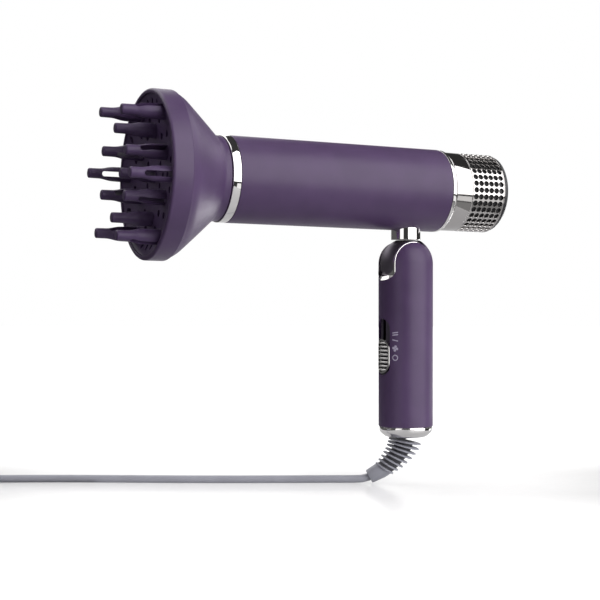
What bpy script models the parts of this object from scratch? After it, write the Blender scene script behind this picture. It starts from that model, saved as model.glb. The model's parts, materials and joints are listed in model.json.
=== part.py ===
"""A folding hair dryer with a pronged diffuser on its nozzle and its cord laid out, as separate pieces.

Row frame: metres, +Z up. The origin is where the barrel's axis crosses the handle's axis. The diffuser
points to -X, and the handle hangs straight down. The head's pieces are drawn with the barrel's axis
along X, and an empty tilts them.
"""

import math

import bmesh
import bpy
from mathutils import Matrix, Vector

MM = 0.001
GAP = 0.3  # between pieces that touch

# Driving dimensions, in millimetres.
TILT = math.radians(1.17)  # the barrel's front end is a little higher than its rear
BARREL_R = 26.6
BARREL_BORE_R = 24.8
BARREL_FRONT, BARREL_REAR = -124.4, 20.0
NOSE_FRONT = -129.9
SPIGOT_R = 22.6
SPIGOT_FRONT = -139.0
CAP_R = 25.5
CAP_FRONT, CAP_REAR = 23.5, 59.2
DUCT_R = 22.8
RIM_R = 51.0
RIM_FRONT, RIM_REAR = -175.8, -163.3
COLLAR_R, COLLAR_REAR = 26.0, -130.3
PLATE_R = 47.9
HINGE_Z = -48.0
HANDLE_R = 17.5
HANDLE_BORE_R = 16.1
HANDLE_END = -152.4
KNUCKLE_R = 16.3
KNUCKLE_HALF = 9.8
NECK_R = 9.4
SWITCH_Z = -101.2  # middle of the switch window
SWITCH_LONG, SWITCH_HALF = 36.4, 7.8
SLIDER_LONG, SLIDER_Z = 22.0, -107.2
CORD_D = 5.0
FLOOR_Z = -189.2
CORD_YAW = math.radians(24.5)  # the cord's heading as it leaves the handle, from -X towards +Y
COIL_TURN_R = (20.5, 25.6, 30.7, 35.8)
COIL_AT = 304.0

for old in list(bpy.data.objects):
    bpy.data.objects.remove(old, do_unlink=True)


# ---------------------------------------------------------------- materials and frames

MATERIALS = {}


def material(name, colour, roughness, metallic=0.0):
    made = bpy.data.materials.new(name)
    made.use_nodes = True
    shader = made.node_tree.nodes["Principled BSDF"]
    shader.inputs["Base Color"].default_value = (*colour, 1.0)
    shader.inputs["Roughness"].default_value = roughness
    shader.inputs["Metallic"].default_value = metallic
    made.diffuse_color = (*colour, 1.0)
    MATERIALS[name] = made


material("soft_purple", (0.075, 0.045, 0.11), 0.5)
material("dark_purple", (0.045, 0.032, 0.07), 0.55)
material("chrome", (0.8, 0.79, 0.78), 0.12, 1.0)
material("dark_chrome", (0.2, 0.18, 0.19), 0.2, 1.0)
material("steel", (0.6, 0.6, 0.6), 0.35, 1.0)
material("black_plastic", (0.03, 0.03, 0.032), 0.45)
material("mica", (0.55, 0.47, 0.33), 0.6)
material("nichrome", (0.35, 0.3, 0.27), 0.4, 1.0)
material("circuit_green", (0.03, 0.16, 0.07), 0.5)
material("grey_rubber", (0.42, 0.43, 0.46), 0.55)
material("brass", (0.7, 0.55, 0.25), 0.3, 1.0)


def empty(name, at=(0, 0, 0), parent=None):
    made = bpy.data.objects.new(name, None)
    made.location = Vector(at) * MM
    made.parent = parent
    bpy.context.collection.objects.link(made)
    return made


HEAD = empty("head_frame")
HEAD.rotation_euler = (0, TILT, 0)
NECK = empty("neck_frame")  # upright, like the handle at rest
FAN = empty("fan_axis", (2, 0, 0), HEAD)
DIFFUSER = empty("diffuser_axis", (RIM_REAR, 0, 0), HEAD)
CAP = empty("cap_axis", (CAP_FRONT, 0, 0), HEAD)
HANDLE = empty("hinge_axis", (0, 0, HINGE_Z))
SLIDER = empty("slider_axis", (-HANDLE_R, 0, SLIDER_Z - HINGE_Z), HANDLE)
# Each frame's origin, in the coordinates that its pieces' numbers are given in.
DRAWN_FROM = {
    HEAD: Vector((0, 0, 0)),
    NECK: Vector((0, 0, 0)),
    FAN: Vector((2, 0, 0)),
    DIFFUSER: Vector((RIM_REAR, 0, 0)),
    CAP: Vector((CAP_FRONT, 0, 0)),
    HANDLE: Vector((0, 0, HINGE_Z)),
    SLIDER: Vector((-HANDLE_R, 0, SLIDER_Z)),
}


def part(name, shape, frame, finish, smooth=35):
    """Makes the shape, a bmesh in millimetres, one object that the frame carries."""
    bmesh.ops.translate(shape, verts=shape.verts, vec=-DRAWN_FROM.get(frame, Vector()))
    bmesh.ops.scale(shape, verts=shape.verts, vec=(MM, MM, MM))
    bmesh.ops.recalc_face_normals(shape, faces=shape.faces)
    mesh = bpy.data.meshes.new(name)
    shape.to_mesh(mesh)
    shape.free()
    made = bpy.data.objects.new(name, mesh)
    made.parent = frame
    bpy.context.collection.objects.link(made)
    if finish:
        mesh.materials.append(MATERIALS[finish])
        mesh.shade_smooth()
        mesh.set_sharp_from_angle(angle=math.radians(smooth))
    return made


def boolean(target, shape, operation="DIFFERENCE", frame=None):
    """Cuts target with the shape, or joins them, through a hidden cutter in target's frame."""
    name = f"{target.name}_{operation.lower()}_{len(target.modifiers)}"
    cutter = part(name, shape, frame or target.parent, None)
    cutter.hide_render = True
    cutter.display_type = "WIRE"
    modifier = target.modifiers.new(operation.title(), "BOOLEAN")
    modifier.operation = operation
    modifier.solver = "EXACT"
    modifier.object = cutter


# ---------------------------------------------------------------- shapes, in millimetres


def lathe(outline, sides=32, axis="X"):
    """Turns a closed outline of (distance along the axis, radius) right round the axis."""
    shape = bmesh.new()
    ring = [shape.verts.new((along, 0, radius)) for along, radius in outline]
    edges = [shape.edges.new((a, b)) for a, b in zip(ring, ring[1:] + ring[:1])]
    for edge in [e for e in edges if all(v.co.z < 1e-6 for v in e.verts)]:
        shape.edges.remove(edge)
        edges.remove(edge)
    bmesh.ops.spin(
        shape, geom=ring + edges, cent=(0, 0, 0), axis=(1, 0, 0), angle=math.tau, steps=sides, use_merge=True
    )
    bmesh.ops.remove_doubles(shape, verts=shape.verts, dist=1e-4)
    if axis == "Z":
        bmesh.ops.rotate(shape, verts=shape.verts, matrix=Matrix.Rotation(-math.pi / 2, 3, "Y"))
    if axis == "Y":
        bmesh.ops.rotate(shape, verts=shape.verts, matrix=Matrix.Rotation(math.pi / 2, 3, "Z"))
    return shape


def rod(radius, low, high, axis="X", sides=16, at=(0, 0, 0)):
    shape = lathe([(low, 0), (low, radius), (high, radius), (high, 0)], sides, axis)
    bmesh.ops.translate(shape, verts=shape.verts, vec=at)
    return shape


def tube(outer, inner, low, high, axis="X", sides=32):
    return lathe([(low, inner), (low, outer), (high, outer), (high, inner)], sides, axis)


def box(low, high):
    shape = bmesh.new()
    bmesh.ops.create_cube(shape, size=1)
    low, high = Vector(low), Vector(high)
    bmesh.ops.scale(shape, verts=shape.verts, vec=high - low)
    bmesh.ops.translate(shape, verts=shape.verts, vec=(low + high) / 2)
    return shape


def prism(outline, low, high):
    """Extrudes a closed outline of (y, z) points from low to high along X."""
    shape = bmesh.new()
    face = shape.faces.new([shape.verts.new((low, y, z)) for y, z in outline])
    grown = bmesh.ops.extrude_face_region(shape, geom=[face])["geom"]
    far_end = [v for v in grown if isinstance(v, bmesh.types.BMVert)]
    bmesh.ops.translate(shape, verts=far_end, vec=(high - low, 0, 0))
    return shape


def loft(sections, sides):
    """A closed skin over (centre, direction, radius) sections, each square to its direction."""
    shape = bmesh.new()
    rings = []
    for centre, direction, radius in sections:
        along = Vector(direction).normalized()
        side = along.cross(Vector((0, 0, 1)))
        side = side.normalized() if side.length > 0.05 else ACROSS.copy()
        up = side.cross(along)
        turns = [math.tau * k / sides for k in range(sides)]
        rings.append(
            [shape.verts.new(centre + radius * (math.cos(t) * side + math.sin(t) * up)) for t in turns]
        )
    for low, high in zip(rings, rings[1:]):
        for k in range(sides):
            shape.faces.new((low[k - 1], low[k], high[k], high[k - 1]))
    shape.faces.new(rings[0])
    shape.faces.new(rings[-1])
    return shape


def merged(*shapes):
    """Several shapes as one mesh, for a cutter whose bodies don't touch."""
    whole = bmesh.new()
    for shape in shapes:
        mesh = bpy.data.meshes.new("merge")
        shape.to_mesh(mesh)
        shape.free()
        whole.from_mesh(mesh)
        bpy.data.meshes.remove(mesh)
    return whole


def arc(centre, radius, start, end, steps):
    """Points on a circle, from start to end in degrees."""
    turns = [math.radians(start + (end - start) * k / steps) for k in range(steps + 1)]
    return [(centre[0] + radius * math.cos(t), centre[1] + radius * math.sin(t)) for t in turns]


def sieve(rings, sectors, keep, low, high):
    """A round plate from low to high along X, of the polar cells that keep(ring, sector) accepts."""
    shape = bmesh.new()
    turns = [math.tau * k / sectors for k in range(sectors)]
    points = [[shape.verts.new((low, r * math.cos(t), r * math.sin(t))) for t in turns] for r in rings]
    for i in range(len(rings) - 1):
        for k in range(sectors):
            if keep(i, k):
                after = (k + 1) % sectors
                shape.faces.new((points[i][k], points[i][after], points[i + 1][after], points[i + 1][k]))
    shape.faces.new(points[0])
    loose = [v for v in shape.verts if not v.link_faces]
    bmesh.ops.delete(shape, geom=loose, context="VERTS")
    grown = bmesh.ops.extrude_face_region(shape, geom=shape.faces[:])["geom"]
    moved = [v for v in grown if isinstance(v, bmesh.types.BMVert)]
    bmesh.ops.translate(shape, verts=moved, vec=(high - low, 0, 0))
    return shape


def smooth_route(points, step):
    """Points about step apart on a Catmull-Rom curve through the given ones."""
    ends = [2 * points[0] - points[1], *points, 2 * points[-1] - points[-2]]
    found = [points[0]]
    for before, a, b, after in zip(ends, ends[1:], ends[2:], ends[3:]):
        count = max(1, round((b - a).length / step))
        for k in range(1, count + 1):
            t = k / count
            found.append(
                0.5 * (2 * a + (b - before) * t + (2 * before - 5 * a + 4 * b - after) * t**2
                       + (3 * a - before - 3 * b + after) * t**3)
            )
    return found


def cable(name, route, diameter, frame, finish, resolution=2):
    """A tube along the route, which is in row coordinates and millimetres."""
    curve = bpy.data.curves.new(name, "CURVE")
    curve.dimensions = "3D"
    curve.bevel_depth = diameter / 2 * MM
    curve.bevel_resolution = resolution
    curve.use_fill_caps = True
    spline = curve.splines.new("POLY")
    spline.points.add(len(route) - 1)
    origin = DRAWN_FROM.get(frame, Vector())
    for point, place in zip(spline.points, route):
        point.co = (*((place - origin) * MM), 1)
    curve.materials.append(MATERIALS[finish])
    made = bpy.data.objects.new(name, curve)
    made.parent = frame
    bpy.context.collection.objects.link(made)
    return made


# The cord lies along AWAY, with ACROSS square to it on the floor, towards the near side.
AWAY = Vector((-math.cos(CORD_YAW), math.sin(CORD_YAW), 0))
ACROSS = Vector((-math.sin(CORD_YAW), -math.cos(CORD_YAW), 0))


def laid(away, across, height):
    """A point of the cord, from distances along AWAY and ACROSS from the handle's axis, and a height."""
    return away * AWAY + across * ACROSS + Vector((0, 0, height))


# ---------------------------------------------------------------- head


def make_barrel():
    outline = [
        (BARREL_FRONT, BARREL_BORE_R), (BARREL_FRONT, BARREL_R - 0.4), (BARREL_FRONT + 0.4, BARREL_R),
        (BARREL_REAR - 0.4, BARREL_R), (BARREL_REAR, BARREL_R - 0.4), (BARREL_REAR, BARREL_BORE_R),
    ]
    shell = part("barrel_shell", lathe(outline, 40), HEAD, "soft_purple")
    boolean(shell, rod(7.1, -30, -20, "Z"), frame=NECK)
    ring = [
        (NOSE_FRONT, SPIGOT_R + GAP), (NOSE_FRONT, BARREL_R - 0.5), (NOSE_FRONT + 0.5, BARREL_R),
        (BARREL_FRONT - GAP, BARREL_R), (BARREL_FRONT - GAP, SPIGOT_R + GAP),
    ]
    part("nose_ring", lathe(ring, 40), HEAD, "chrome")
    spigot = [
        (SPIGOT_FRONT, SPIGOT_R - 1.6), (SPIGOT_FRONT, SPIGOT_R - 0.4), (SPIGOT_FRONT + 0.4, SPIGOT_R),
        (BARREL_FRONT + GAP, SPIGOT_R), (BARREL_FRONT + GAP, BARREL_BORE_R - GAP),
        (BARREL_FRONT + 6, BARREL_BORE_R - GAP), (BARREL_FRONT + 6, SPIGOT_R - 1.6),
    ]
    part("nozzle_spigot", lathe(spigot), HEAD, "black_plastic")
    bars = [5.0, 9.0, 10.6, 18.0, 20.6]
    grille = sieve(bars, 24, lambda ring, sector: ring % 2 == 1 or sector % 4 == 0, -137.5, -135.5)
    part("outlet_grille", grille, HEAD, "black_plastic")


def make_heater():
    part("heater_sleeve", tube(23.6, 22.9, -112, -46), HEAD, "mica")
    reach, half = 19.8, 0.5
    cross = [
        (half, half), (half, reach), (-half, reach), (-half, half), (-reach, half), (-reach, -half),
        (-half, -half), (-half, -reach), (half, -reach), (half, -half), (reach, -half), (reach, half),
    ]
    part("heater_boards", prism(cross, -110, -50), HEAD, "mica")
    for name, low, high in (("front_heating_coil", -107, -84), ("rear_heating_coil", -80, -57)):
        turns, steps, radius = 4, 12, 21.3
        route = []
        for k in range(turns * steps + 1):
            turn = math.tau * k / steps
            along = low + (high - low) * k / (turns * steps)
            route.append(Vector((along, radius * math.cos(turn), radius * math.sin(turn))))
        cable(name, route, 1.4, HEAD, "nichrome", 1)
    part("thermostat", rod(4.0, -70, -63, sides=16, at=(0, 5.2, 5.2)), HEAD, "steel")
    part("thermal_fuse", rod(1.6, -98, -88, sides=12, at=(0, -2.8, 2.8)), HEAD, "brass")


def make_motor():
    duct_front, duct_rear = -40, 18
    hub_front, hub_rear = -36, -6
    duct = tube(DUCT_R, DUCT_R - 1.2, duct_front, duct_rear, sides=28)
    housing = part("motor_housing", duct, HEAD, "black_plastic")
    boolean(housing, tube(13.0, 11.8, hub_front, hub_rear, sides=20), "UNION")
    vanes = []
    for k in range(7):
        vane = box((-28, -0.6, 12.4), (-12, 0.6, DUCT_R - 0.6))
        bmesh.ops.rotate(vane, verts=vane.verts, matrix=Matrix.Rotation(math.tau * k / 7, 3, "X"))
        vanes.append(vane)
    boolean(housing, merged(*vanes), "UNION")
    motor = [(-33, 0), (-33, 10.6), (-32, 11.4), (-8, 11.4), (-7, 10.6), (-7, 1.8), (-14, 1.8), (-14, 0)]
    part("motor_body", lathe(motor, 20), HEAD, "steel")
    part("motor_shaft", rod(1.5, -13.6, 9, sides=16), FAN, "steel")
    hub = [(-4.5, 1.8), (-4.5, 9.5), (4, 9.0), (8, 6.5), (10.5, 3.0), (10.5, 0), (9.4, 0), (9.4, 1.8)]
    impeller = part("fan_impeller", lathe(hub, 27), FAN, "black_plastic")
    boolean(impeller, merged(*[fan_blade(k, 9) for k in range(9)]), "UNION")


def fan_blade(index, count):
    """One twisted blade, from inside the hub out to the duct."""
    shape = bmesh.new()
    root, tip, thick = 7.0, DUCT_R - 1.7, 0.5
    corners = ((-1, -1), (1, -1), (1, 1), (-1, 1))
    rows = []
    for radius, twist in ((root, 52), (14.0, 40), (tip, 28)):
        turn = math.radians(twist)
        along = 3.6 * Vector((math.cos(turn), math.sin(turn), 0))
        across = thick * Vector((-math.sin(turn), math.cos(turn), 0))
        centre = Vector((0, 0, radius))
        rows.append([shape.verts.new(centre + a * along + b * across) for a, b in corners])
    for low, high in zip(rows, rows[1:]):
        for k in range(4):
            shape.faces.new((low[k - 1], low[k], high[k], high[k - 1]))
    shape.faces.new(rows[0])
    shape.faces.new(rows[-1])
    bmesh.ops.rotate(shape, verts=shape.verts, matrix=Matrix.Rotation(math.tau * index / count, 3, "X"))
    return shape


def make_rear():
    ring = [
        (11, DUCT_R + GAP), (11, BARREL_BORE_R - GAP), (BARREL_REAR + GAP, BARREL_BORE_R - GAP),
        (BARREL_REAR + GAP, BARREL_R), (22.5, BARREL_R), (22.9, BARREL_R - 0.4), (22.9, 23.9), (33, 23.9),
        (33, DUCT_R + GAP),
    ]
    part("rear_trim_ring", lathe(ring, 40), HEAD, "chrome")
    part("filter_cap", perforated_sleeve(), CAP, "chrome")
    part("filter_screen", tube(23.9, 23.4, 35, 55.5), CAP, "black_plastic")
    rim = [
        (55.9, 21.4), (55.9, CAP_R - 1.5), (CAP_REAR + GAP, CAP_R - 1.5), (CAP_REAR + GAP, 24.6),
        (61.9, 24.3), (63.1, 22.8), (63.1, 21.4),
    ]
    grille = part("rear_grille", lathe(rim, 32), CAP, "black_plastic")
    bars = sieve([4.0, 10.0, 12.0, 22.0], 16, lambda ring, sector: ring == 1 or sector % 2 == 0, 60.2, 62.2)
    boolean(grille, bars, "UNION")


def perforated_sleeve():
    """The cap's tube: three rings of square openings, with a plain band ahead of them and a lip behind."""
    inner = CAP_R - 1.1
    sectors = 38
    stations = [CAP_FRONT, 35.9, 40.9, 43.3, 48.3, 50.7, 55.7, CAP_REAR]
    shape = bmesh.new()
    layers = []
    turns = [math.tau * k / sectors for k in range(sectors)]
    for radius in (CAP_R, inner):
        circle = [(radius * math.cos(t), radius * math.sin(t)) for t in turns]
        layers.append([[shape.verts.new((x, y, z)) for y, z in circle] for x in stations])
    outer_skin, inner_skin = layers

    def is_open(i, k):
        return 0 <= i < len(stations) - 1 and i % 2 == 1 and k % 2 == 0

    for i in range(len(stations) - 1):
        for k in range(sectors):
            after = (k + 1) % sectors
            corners = [(i, k), (i + 1, k), (i + 1, after), (i, after)]
            if not is_open(i, k):
                shape.faces.new([outer_skin[a][b] for a, b in corners])
                shape.faces.new([inner_skin[a][b] for a, b in reversed(corners)])
            else:
                for (a, b), (c, d) in zip(corners, corners[1:] + corners[:1]):
                    shape.faces.new((outer_skin[a][b], outer_skin[c][d], inner_skin[c][d], inner_skin[a][b]))
    for i in (0, len(stations) - 1):
        for k in range(sectors):
            after = (k + 1) % sectors
            shape.faces.new((outer_skin[i][k], outer_skin[i][after], inner_skin[i][after], inner_skin[i][k]))
    return shape


def make_neck():
    neck = part("neck_stem", rod(NECK_R, -32.6, -23, "Z", 24), NECK, "chrome")
    boolean(neck, rod(BARREL_R + GAP, -20, 20, sides=40), frame=HEAD)
    boolean(neck, rod(6.8, -31, -23.4, "Z"), "UNION")
    boolean(neck, rod(4.4, -40, -20, "Z"))
    # The clamp plate is a patch of a tube, curved to the barrel's inside.
    patch = part("neck_clamp_plate", tube(BARREL_BORE_R - GAP, 23.3, -10, 10, sides=40), HEAD, "steel")
    boolean(patch, box((-12, -9, -30), (12, 9, -15)), "INTERSECT")
    boolean(patch, rod(7.1, -30, -20, "Z"), frame=NECK)
    knuckle = part("hinge_knuckle", ball(KNUCKLE_R, 28, 14), NECK, "dark_chrome")
    boolean(knuckle, box((-20, -KNUCKLE_HALF, -80), (20, KNUCKLE_HALF, -32.9)), "INTERSECT")
    boolean(knuckle, rod(4.1, -40, -23.4, "Z"), "UNION")
    boolean(knuckle, rod(2.4, -50, -20, "Z", 16))
    boolean(knuckle, rod(3.3, -20, 20, "Y", 24, (0, 0, HINGE_Z)))


def ball(radius, around, rows):
    """A ball about the hinge, which is a turned half circle."""
    half = arc((0, 0), radius, 180, 0, rows)
    return moved(lathe(half, around, "Y"), (0, 0, HINGE_Z))


def moved(shape, by):
    bmesh.ops.translate(shape, verts=shape.verts, vec=by)
    return shape


# ---------------------------------------------------------------- diffuser


def make_diffuser():
    wall = 1.7
    bowl = [
        (COLLAR_REAR, 23.1), (COLLAR_REAR, COLLAR_R), (-134.5, COLLAR_R), (-143.0, 33.9), (-152.0, 42.0),
        (-159.5, 48.4), (RIM_REAR, RIM_R), (RIM_FRONT + 0.8, RIM_R), (RIM_FRONT, RIM_R - 1.0),
        (RIM_FRONT, RIM_R - 2.2), (RIM_FRONT + 0.6, PLATE_R + GAP), (RIM_FRONT + 7.0, PLATE_R + GAP),
        (-160.5, 46.0), (-152.0, 39.6),
        (-140.0, 28.4), (-139.6, 23.1), (-138.8, 23.1), (-138.8, 24.6), (-134.4, 24.6), (-134.4, 23.1),
    ]
    part("diffuser_bowl", lathe(bowl, 44), DIFFUSER, "soft_purple")
    part("diffuser_grip_ring", tube(24.3, SPIGOT_R + GAP, -138.5, -134.7), DIFFUSER, "grey_rubber")
    make_plate(wall)


def plate_depth(radius):
    """Where the plate's front face is at a radius: dished, and flush with the rim at its edge."""
    out = radius / PLATE_R
    return -170.2 - 2.2 * out**2 - 2.4 * out**8


def make_plate(wall):
    radii = [0.0, 24.0, 36.0, 43.0, PLATE_R]
    front = [(plate_depth(r), r) for r in radii]
    back = [(x + wall, r) for x, r in reversed(front)]
    plate = part("diffuser_plate", lathe(front + back, 36), DIFFUSER, "dark_purple")
    prongs = []
    slots = []
    for count, ring_r, first, tip in PRONG_RINGS:
        for k in range(count):
            turn = first + 360 * k / count
            prongs.append(placed(prong(tip - plate_depth(ring_r)), ring_r, turn, plate_depth(ring_r)))
            slots.append(placed(prong_slot(tip - plate_depth(ring_r)), ring_r, turn, plate_depth(ring_r)))
    boolean(plate, merged(*prongs), "UNION")
    boolean(plate, merged(*slots))
    boolean(plate, merged(*plate_holes(wall)))


# The prongs' rings: how many, the ring's radius, the first one's angle in degrees, and where the tips are.
PRONG_RINGS = ((6, 41.8, 4, -198.7), (6, 26.2, 34, -195.7), (1, 0.0, 4, -191.4))


def placed(shape, radius, turn, along):
    """Moves a shape drawn at the axis out to a radius, then turns it round the axis."""
    bmesh.ops.translate(shape, verts=shape.verts, vec=(along, radius, 0))
    bmesh.ops.rotate(shape, verts=shape.verts, matrix=Matrix.Rotation(math.radians(turn), 3, "X"))
    return shape


def prong(reach):
    """A round finger that points to -X and starts inside the plate; reach is negative."""
    outline = [
        (1.0, 0), (1.0, 4.7), (reach + 13.5, 4.4), (reach + 9.0, 3.2), (reach + 0.8, 3.05),
        (reach, 2.2), (reach, 0),
    ]
    return lathe(outline, 10)


def prong_slot(reach):
    """The slot right through a finger, square to the ring it stands on."""
    return box((reach + 8.0, -6, -1.6), (-0.6, 6, 1.6))


def plate_holes(wall):
    """Round holes between the fingers, and slanted vents round the edge in threes."""
    holes = []
    rings = ((12, 33.4, 19, 2.1), (6, 26.0, 4, 2.1), (6, 17.0, 4, 1.8), (6, 13.0, 34, 1.8))
    for count, ring_r, first, hole_r in rings:
        for k in range(count):
            hole = rod(hole_r, -2, wall + 2, sides=6)
            holes.append(placed(hole, ring_r, first + 360 * k / count, plate_depth(ring_r)))
    for k in range(6):
        for side in (-11, 0, 11):
            vent = box((-3, -2.1, -1.1), (wall + 3, 2.1, 1.1))
            bmesh.ops.rotate(vent, verts=vent.verts, matrix=Matrix.Rotation(math.radians(35), 3, "X"))
            holes.append(placed(vent, 43.2, 34 + 60 * k + side, plate_depth(43.2)))
    return holes


# ---------------------------------------------------------------- handle


def slot_opening(half, low, rear):
    """The knuckle's way out of the handle: open at the top, and down the front to a rounded end."""
    side = 5.4  # how far the rounded end comes up at its sides
    turns = [math.radians(180 + 22.5 * k) for k in range(9)]
    ends = [(half * math.cos(t), low + side * (1 + math.sin(t))) for t in turns]
    return prism([(-half, HINGE_Z + 30), *ends, (half, HINGE_Z + 30)], -30, rear)


def make_handle():
    half_ball = arc((HINGE_Z, 0), HANDLE_R, 0, 90, 7)
    outline = [
        *half_ball, (HANDLE_END, HANDLE_R), (HANDLE_END, HANDLE_BORE_R),
        (HINGE_Z - 18, HANDLE_BORE_R), (HINGE_Z - 18, 0),
    ]
    shell = part("handle_shell", lathe(outline, 36, "Z"), HANDLE, "soft_purple")
    boolean(shell, knuckle_room(KNUCKLE_R + 0.35, 11.1))
    boolean(shell, slot_opening(11.1, -58.8, 8.6))
    boolean(shell, rod(3.3, -15.6, 15.6, "Y", 24, (0, 0, HINGE_Z)))
    boolean(shell, rod(8.0, -74, -60, "Z", 24))
    boolean(shell, switch_outline(SWITCH_Z, SWITCH_LONG, SWITCH_HALF, -25, -8))
    make_slot_trim()
    make_hinge_parts()


def knuckle_room(radius, half):
    """The hollow that the knuckle turns in: a ball with flat sides."""
    room = arc((0, 0), radius, 180, 0, 16)
    flat = [(max(-half, min(half, along)), r) for along, r in room]
    kept = [flat[0]]
    for point in flat[1:]:
        if (Vector(point) - Vector(kept[-1])).length > 0.05:
            kept.append(point)
    edge = math.sqrt(radius**2 - half**2)
    sides = [p for p in kept if abs(p[0]) < half - 0.02]
    outline = [(-half, 0), (-half, edge), *sides, (half, edge), (half, 0)]
    return moved(lathe(outline, 28, "Y"), (0, 0, HINGE_Z))


def switch_outline(middle, long, half, near, far):
    """An upright round-ended window through the handle's front."""
    end = 6.0  # how tall each rounded end is
    straight = long / 2 - end
    turns = [math.radians(30 * k) for k in range(7)]
    top = [(half * math.cos(t), middle + straight + end * math.sin(t)) for t in turns]
    bottom = [(-half * math.cos(t), middle - straight - end * math.sin(t)) for t in turns]
    return prism(top + bottom, near, far)


def make_slot_trim():
    """A chrome band down both sides of the slot, with a deep sill at its foot."""
    outline = [*arc((HINGE_Z, 0), HANDLE_R + 0.1, 0, 90, 7), (-70, HANDLE_R + 0.1), (-70, 0)]
    trim = part("hinge_trim", lathe(outline, 36, "Z"), HANDLE, "chrome")
    boolean(trim, slot_opening(10.8, -58.5, 5.0), "INTERSECT")
    boolean(trim, slot_opening(10.1, -56.2, 6.0))
    boolean(trim, knuckle_room(KNUCKLE_R + 0.35, 12.0))


def make_hinge_parts():
    for name, side in (("near_hinge_pin", -1), ("far_hinge_pin", 1)):
        ends = sorted((side * 4.0, side * 15.2))
        part(name, rod(3.0, *ends, "Y", 24, (0, 0, HINGE_Z)), HANDLE, "steel")
    bracket = part("hinge_bracket", rod(HANDLE_BORE_R - GAP, -72, -66.6, "Z", 28), HANDLE, "black_plastic")
    boolean(bracket, rod(2.6, -80, -60, "Z", 12))
    boolean(bracket, rod(2.6, -80, -60, "Z", 10, (9.5, 0, 0)))
    plunger = [(-71.5, 0), (-71.5, 2.3), (-66.2, 2.3), (-64.9, 1.2), (-64.7, 0)]
    part("detent_plunger", lathe(plunger, 12, "Z"), HANDLE, "brass")
    route = []
    turns, steps = 4, 8
    for k in range(turns * steps + 1):
        turn = math.tau * k / steps
        route.append(Vector((1.7 * math.cos(turn), 1.7 * math.sin(turn), -78.5 + 6.2 * k / (turns * steps))))
    cable("detent_spring", route, 0.6, HANDLE, "steel", 1)


def make_switch():
    inner, outer = 14.7, 15.8
    ring = tube(outer, inner, SWITCH_Z - 21, SWITCH_Z + 20, "Z", 36)
    tray = part("switch_tray", ring, HANDLE, "black_plastic")
    boolean(tray, box((-20, -10.6, -130), (-5, 10.6, -70)), "INTERSECT")
    boolean(tray, switch_outline(-99.2, 32.4, 2.4, -25, -8))
    blank = tube(HANDLE_R + 0.15, outer + GAP, SLIDER_Z - 14, SLIDER_Z + 14, "Z", 36)
    slider = part("switch_slider", blank, SLIDER, "chrome")
    boolean(slider, switch_outline(SLIDER_Z, SLIDER_LONG, SWITCH_HALF - 0.4, -25, -8), "INTERSECT")
    grooves = []
    for k in range(8):
        z = SLIDER_Z + (k - 3.5) * 2.3
        half = 4.6 if k in (0, 7) else 6.0
        grooves.append(box((-22, -half, z - 0.6), (-17.0, half, z + 0.6)))
    boolean(slider, merged(*grooves))
    boolean(slider, box((-17, -1.6, SLIDER_Z - 4), (-12.6, 1.6, SLIDER_Z + 4)), "UNION")
    part("slide_switch", box((-12.2, -5, -119), (-6, 5, -84)), HANDLE, "black_plastic")
    part("control_board", box((-5.6, -12, -143), (-4.2, 12, -82)), HANDLE, "circuit_green")
    part("capacitor", rod(5.5, -118, -96, "Z", 20, (1.8, -5.8, 0)), HANDLE, "steel")
    part("ion_generator", box((-3.8, 1, -120), (6, 11, -98)), HANDLE, "black_plastic")
    part("power_triac", box((-3.8, -5, -134), (-1.2, 5, -124)), HANDLE, "black_plastic")


def make_end():
    cap = [
        (-146, HANDLE_BORE_R - GAP), (HANDLE_END - GAP, HANDLE_BORE_R - GAP), (HANDLE_END - GAP, 17.0),
        (-155.8, 16.9), (-158.0, 15.3), (-159.2, 12.4), (-159.2, 8.0), (-157.6, 8.0), (-157.0, 14.4),
        (-146, 14.4),
    ]
    part("end_cap", lathe(cap, 36, "Z"), HANDLE, "chrome")
    clamp = part("cord_clamp", box((-9, -10.5, -152.0), (9, 10.5, -147.0)), HANDLE, "black_plastic")
    boolean(clamp, rod(3.2, -160, -140, "Z", 16))


# The strain relief's fins, from the top down: distance along AWAY, height, radius, and slant in degrees.
RELIEF_FINS = (
    (0.6, -162.3, 10.6, 11), (1.5, -164.9, 10.5, 15), (2.8, -167.5, 9.9, 19), (4.5, -170.1, 9.3, 22),
    (6.6, -172.6, 8.7, 26), (8.8, -175.1, 8.0, 29), (11.2, -177.4, 7.3, 31), (13.6, -179.6, 6.6, 32),
)


def make_relief():
    """A plug in the end cap, a finned bend, and a plain sleeve that the cord leaves by."""
    down = Vector((0, 0, -1))
    sections = [
        (laid(0, 0, -153.0), down, 9.6), (laid(0, 0, -156.6), down, 9.6), (laid(0, 0, -156.7), down, 7.6),
        (laid(0, 0, -159.6), down, 7.6), (laid(0.1, 0, -159.9), down, 5.7),
    ]
    half = 0.6
    for i, (away, height, radius, slant) in enumerate(RELIEF_FINS):
        centre = laid(away, 0, height)
        turn = math.radians(slant)
        along = math.sin(turn) * AWAY + math.cos(turn) * down
        core = 5.7 - 0.05 * i
        for shift, r in ((-half - 0.1, core), (-half, radius), (half, radius), (half + 0.1, core)):
            sections.append((centre + shift * along, along, r))
    tail = (laid(23.2, 0, -185.0) - laid(15.9, 0, -180.9)).normalized()
    for away, height, radius in ((15.9, -180.9, 5.3), (23.2, -185.0, 4.6), (23.5, -185.2, 4.2)):
        sections.append((laid(away, 0, height), tail, radius))
    part("strain_relief", loft(sections, 14), HANDLE, "grey_rubber")


# ---------------------------------------------------------------- cord

CORD_Z = FLOOR_Z + CORD_D / 2
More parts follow.
